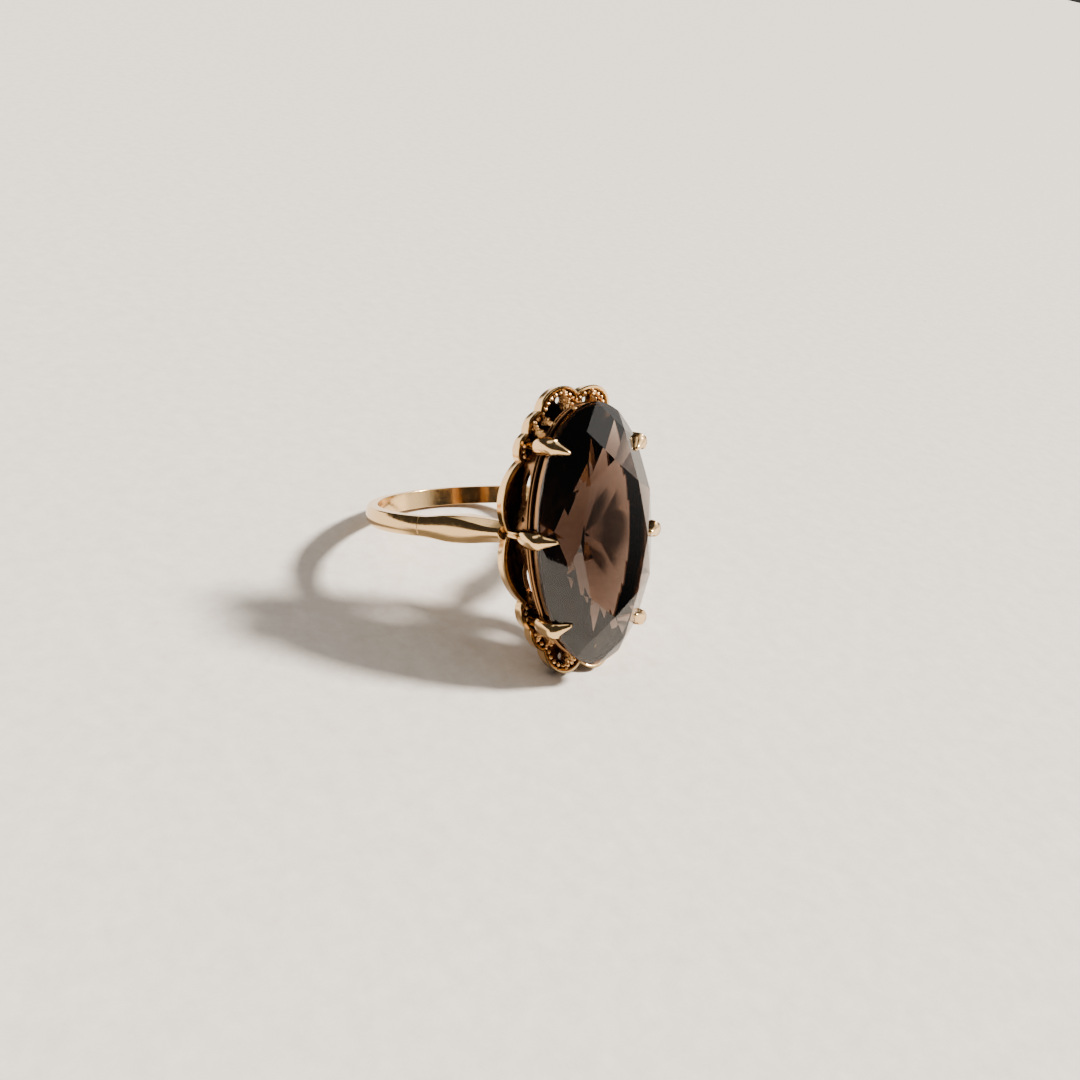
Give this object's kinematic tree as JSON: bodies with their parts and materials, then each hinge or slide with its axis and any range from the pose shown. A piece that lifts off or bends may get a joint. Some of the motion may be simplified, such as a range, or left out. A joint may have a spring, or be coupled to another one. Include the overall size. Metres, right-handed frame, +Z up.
{
  "type": "cocktail ring",
  "caption": "Gold dress ring with a large oval faceted smoky quartz held by leaf-shaped claws on a scalloped, beaded, boat-shaped gallery, with tapering shoulders.",
  "frame": {"origin": "centre of the finger hole", "axes": "+Z up as the ring lies on a table on the back of its band and the lobes at one end of the gallery; +X from the band towards the stone; -Y is the left side; the finger axis leans back from +Z towards -X by the rest lean"},
  "size_m": [0.0268, 0.0192, 0.0187],
  "materials": {
    "gold": "polished yellow gold, with patina in the recesses",
    "smoky_quartz": "polished facets, smoky brown"
  },
  "bodies": {
    "root": {"stone": "smoky_quartz", "seat_ring": "gold", "basket": "gold", "base_plate": "gold", "end_frill_upper": "gold", "side_scallop_left_upper": "gold", "side_scallop_right_upper": "gold", "end_frill_lower": "gold", "side_scallop_left_lower": "gold", "side_scallop_right_lower": "gold", "bead_row_upper": "gold", "bead_row_lower": "gold", "ribs_upper": "gold", "ribs_lower": "gold", "bearer_wire": "gold", "claw_left_upper": "gold", "claw_right_upper": "gold", "claw_left_middle": "gold", "claw_right_middle": "gold", "claw_left_lower": "gold", "claw_right_lower": "gold", "shank_back": "gold", "shoulder_left": "gold", "shoulder_right": "gold"}
  },
  "joints": []
}
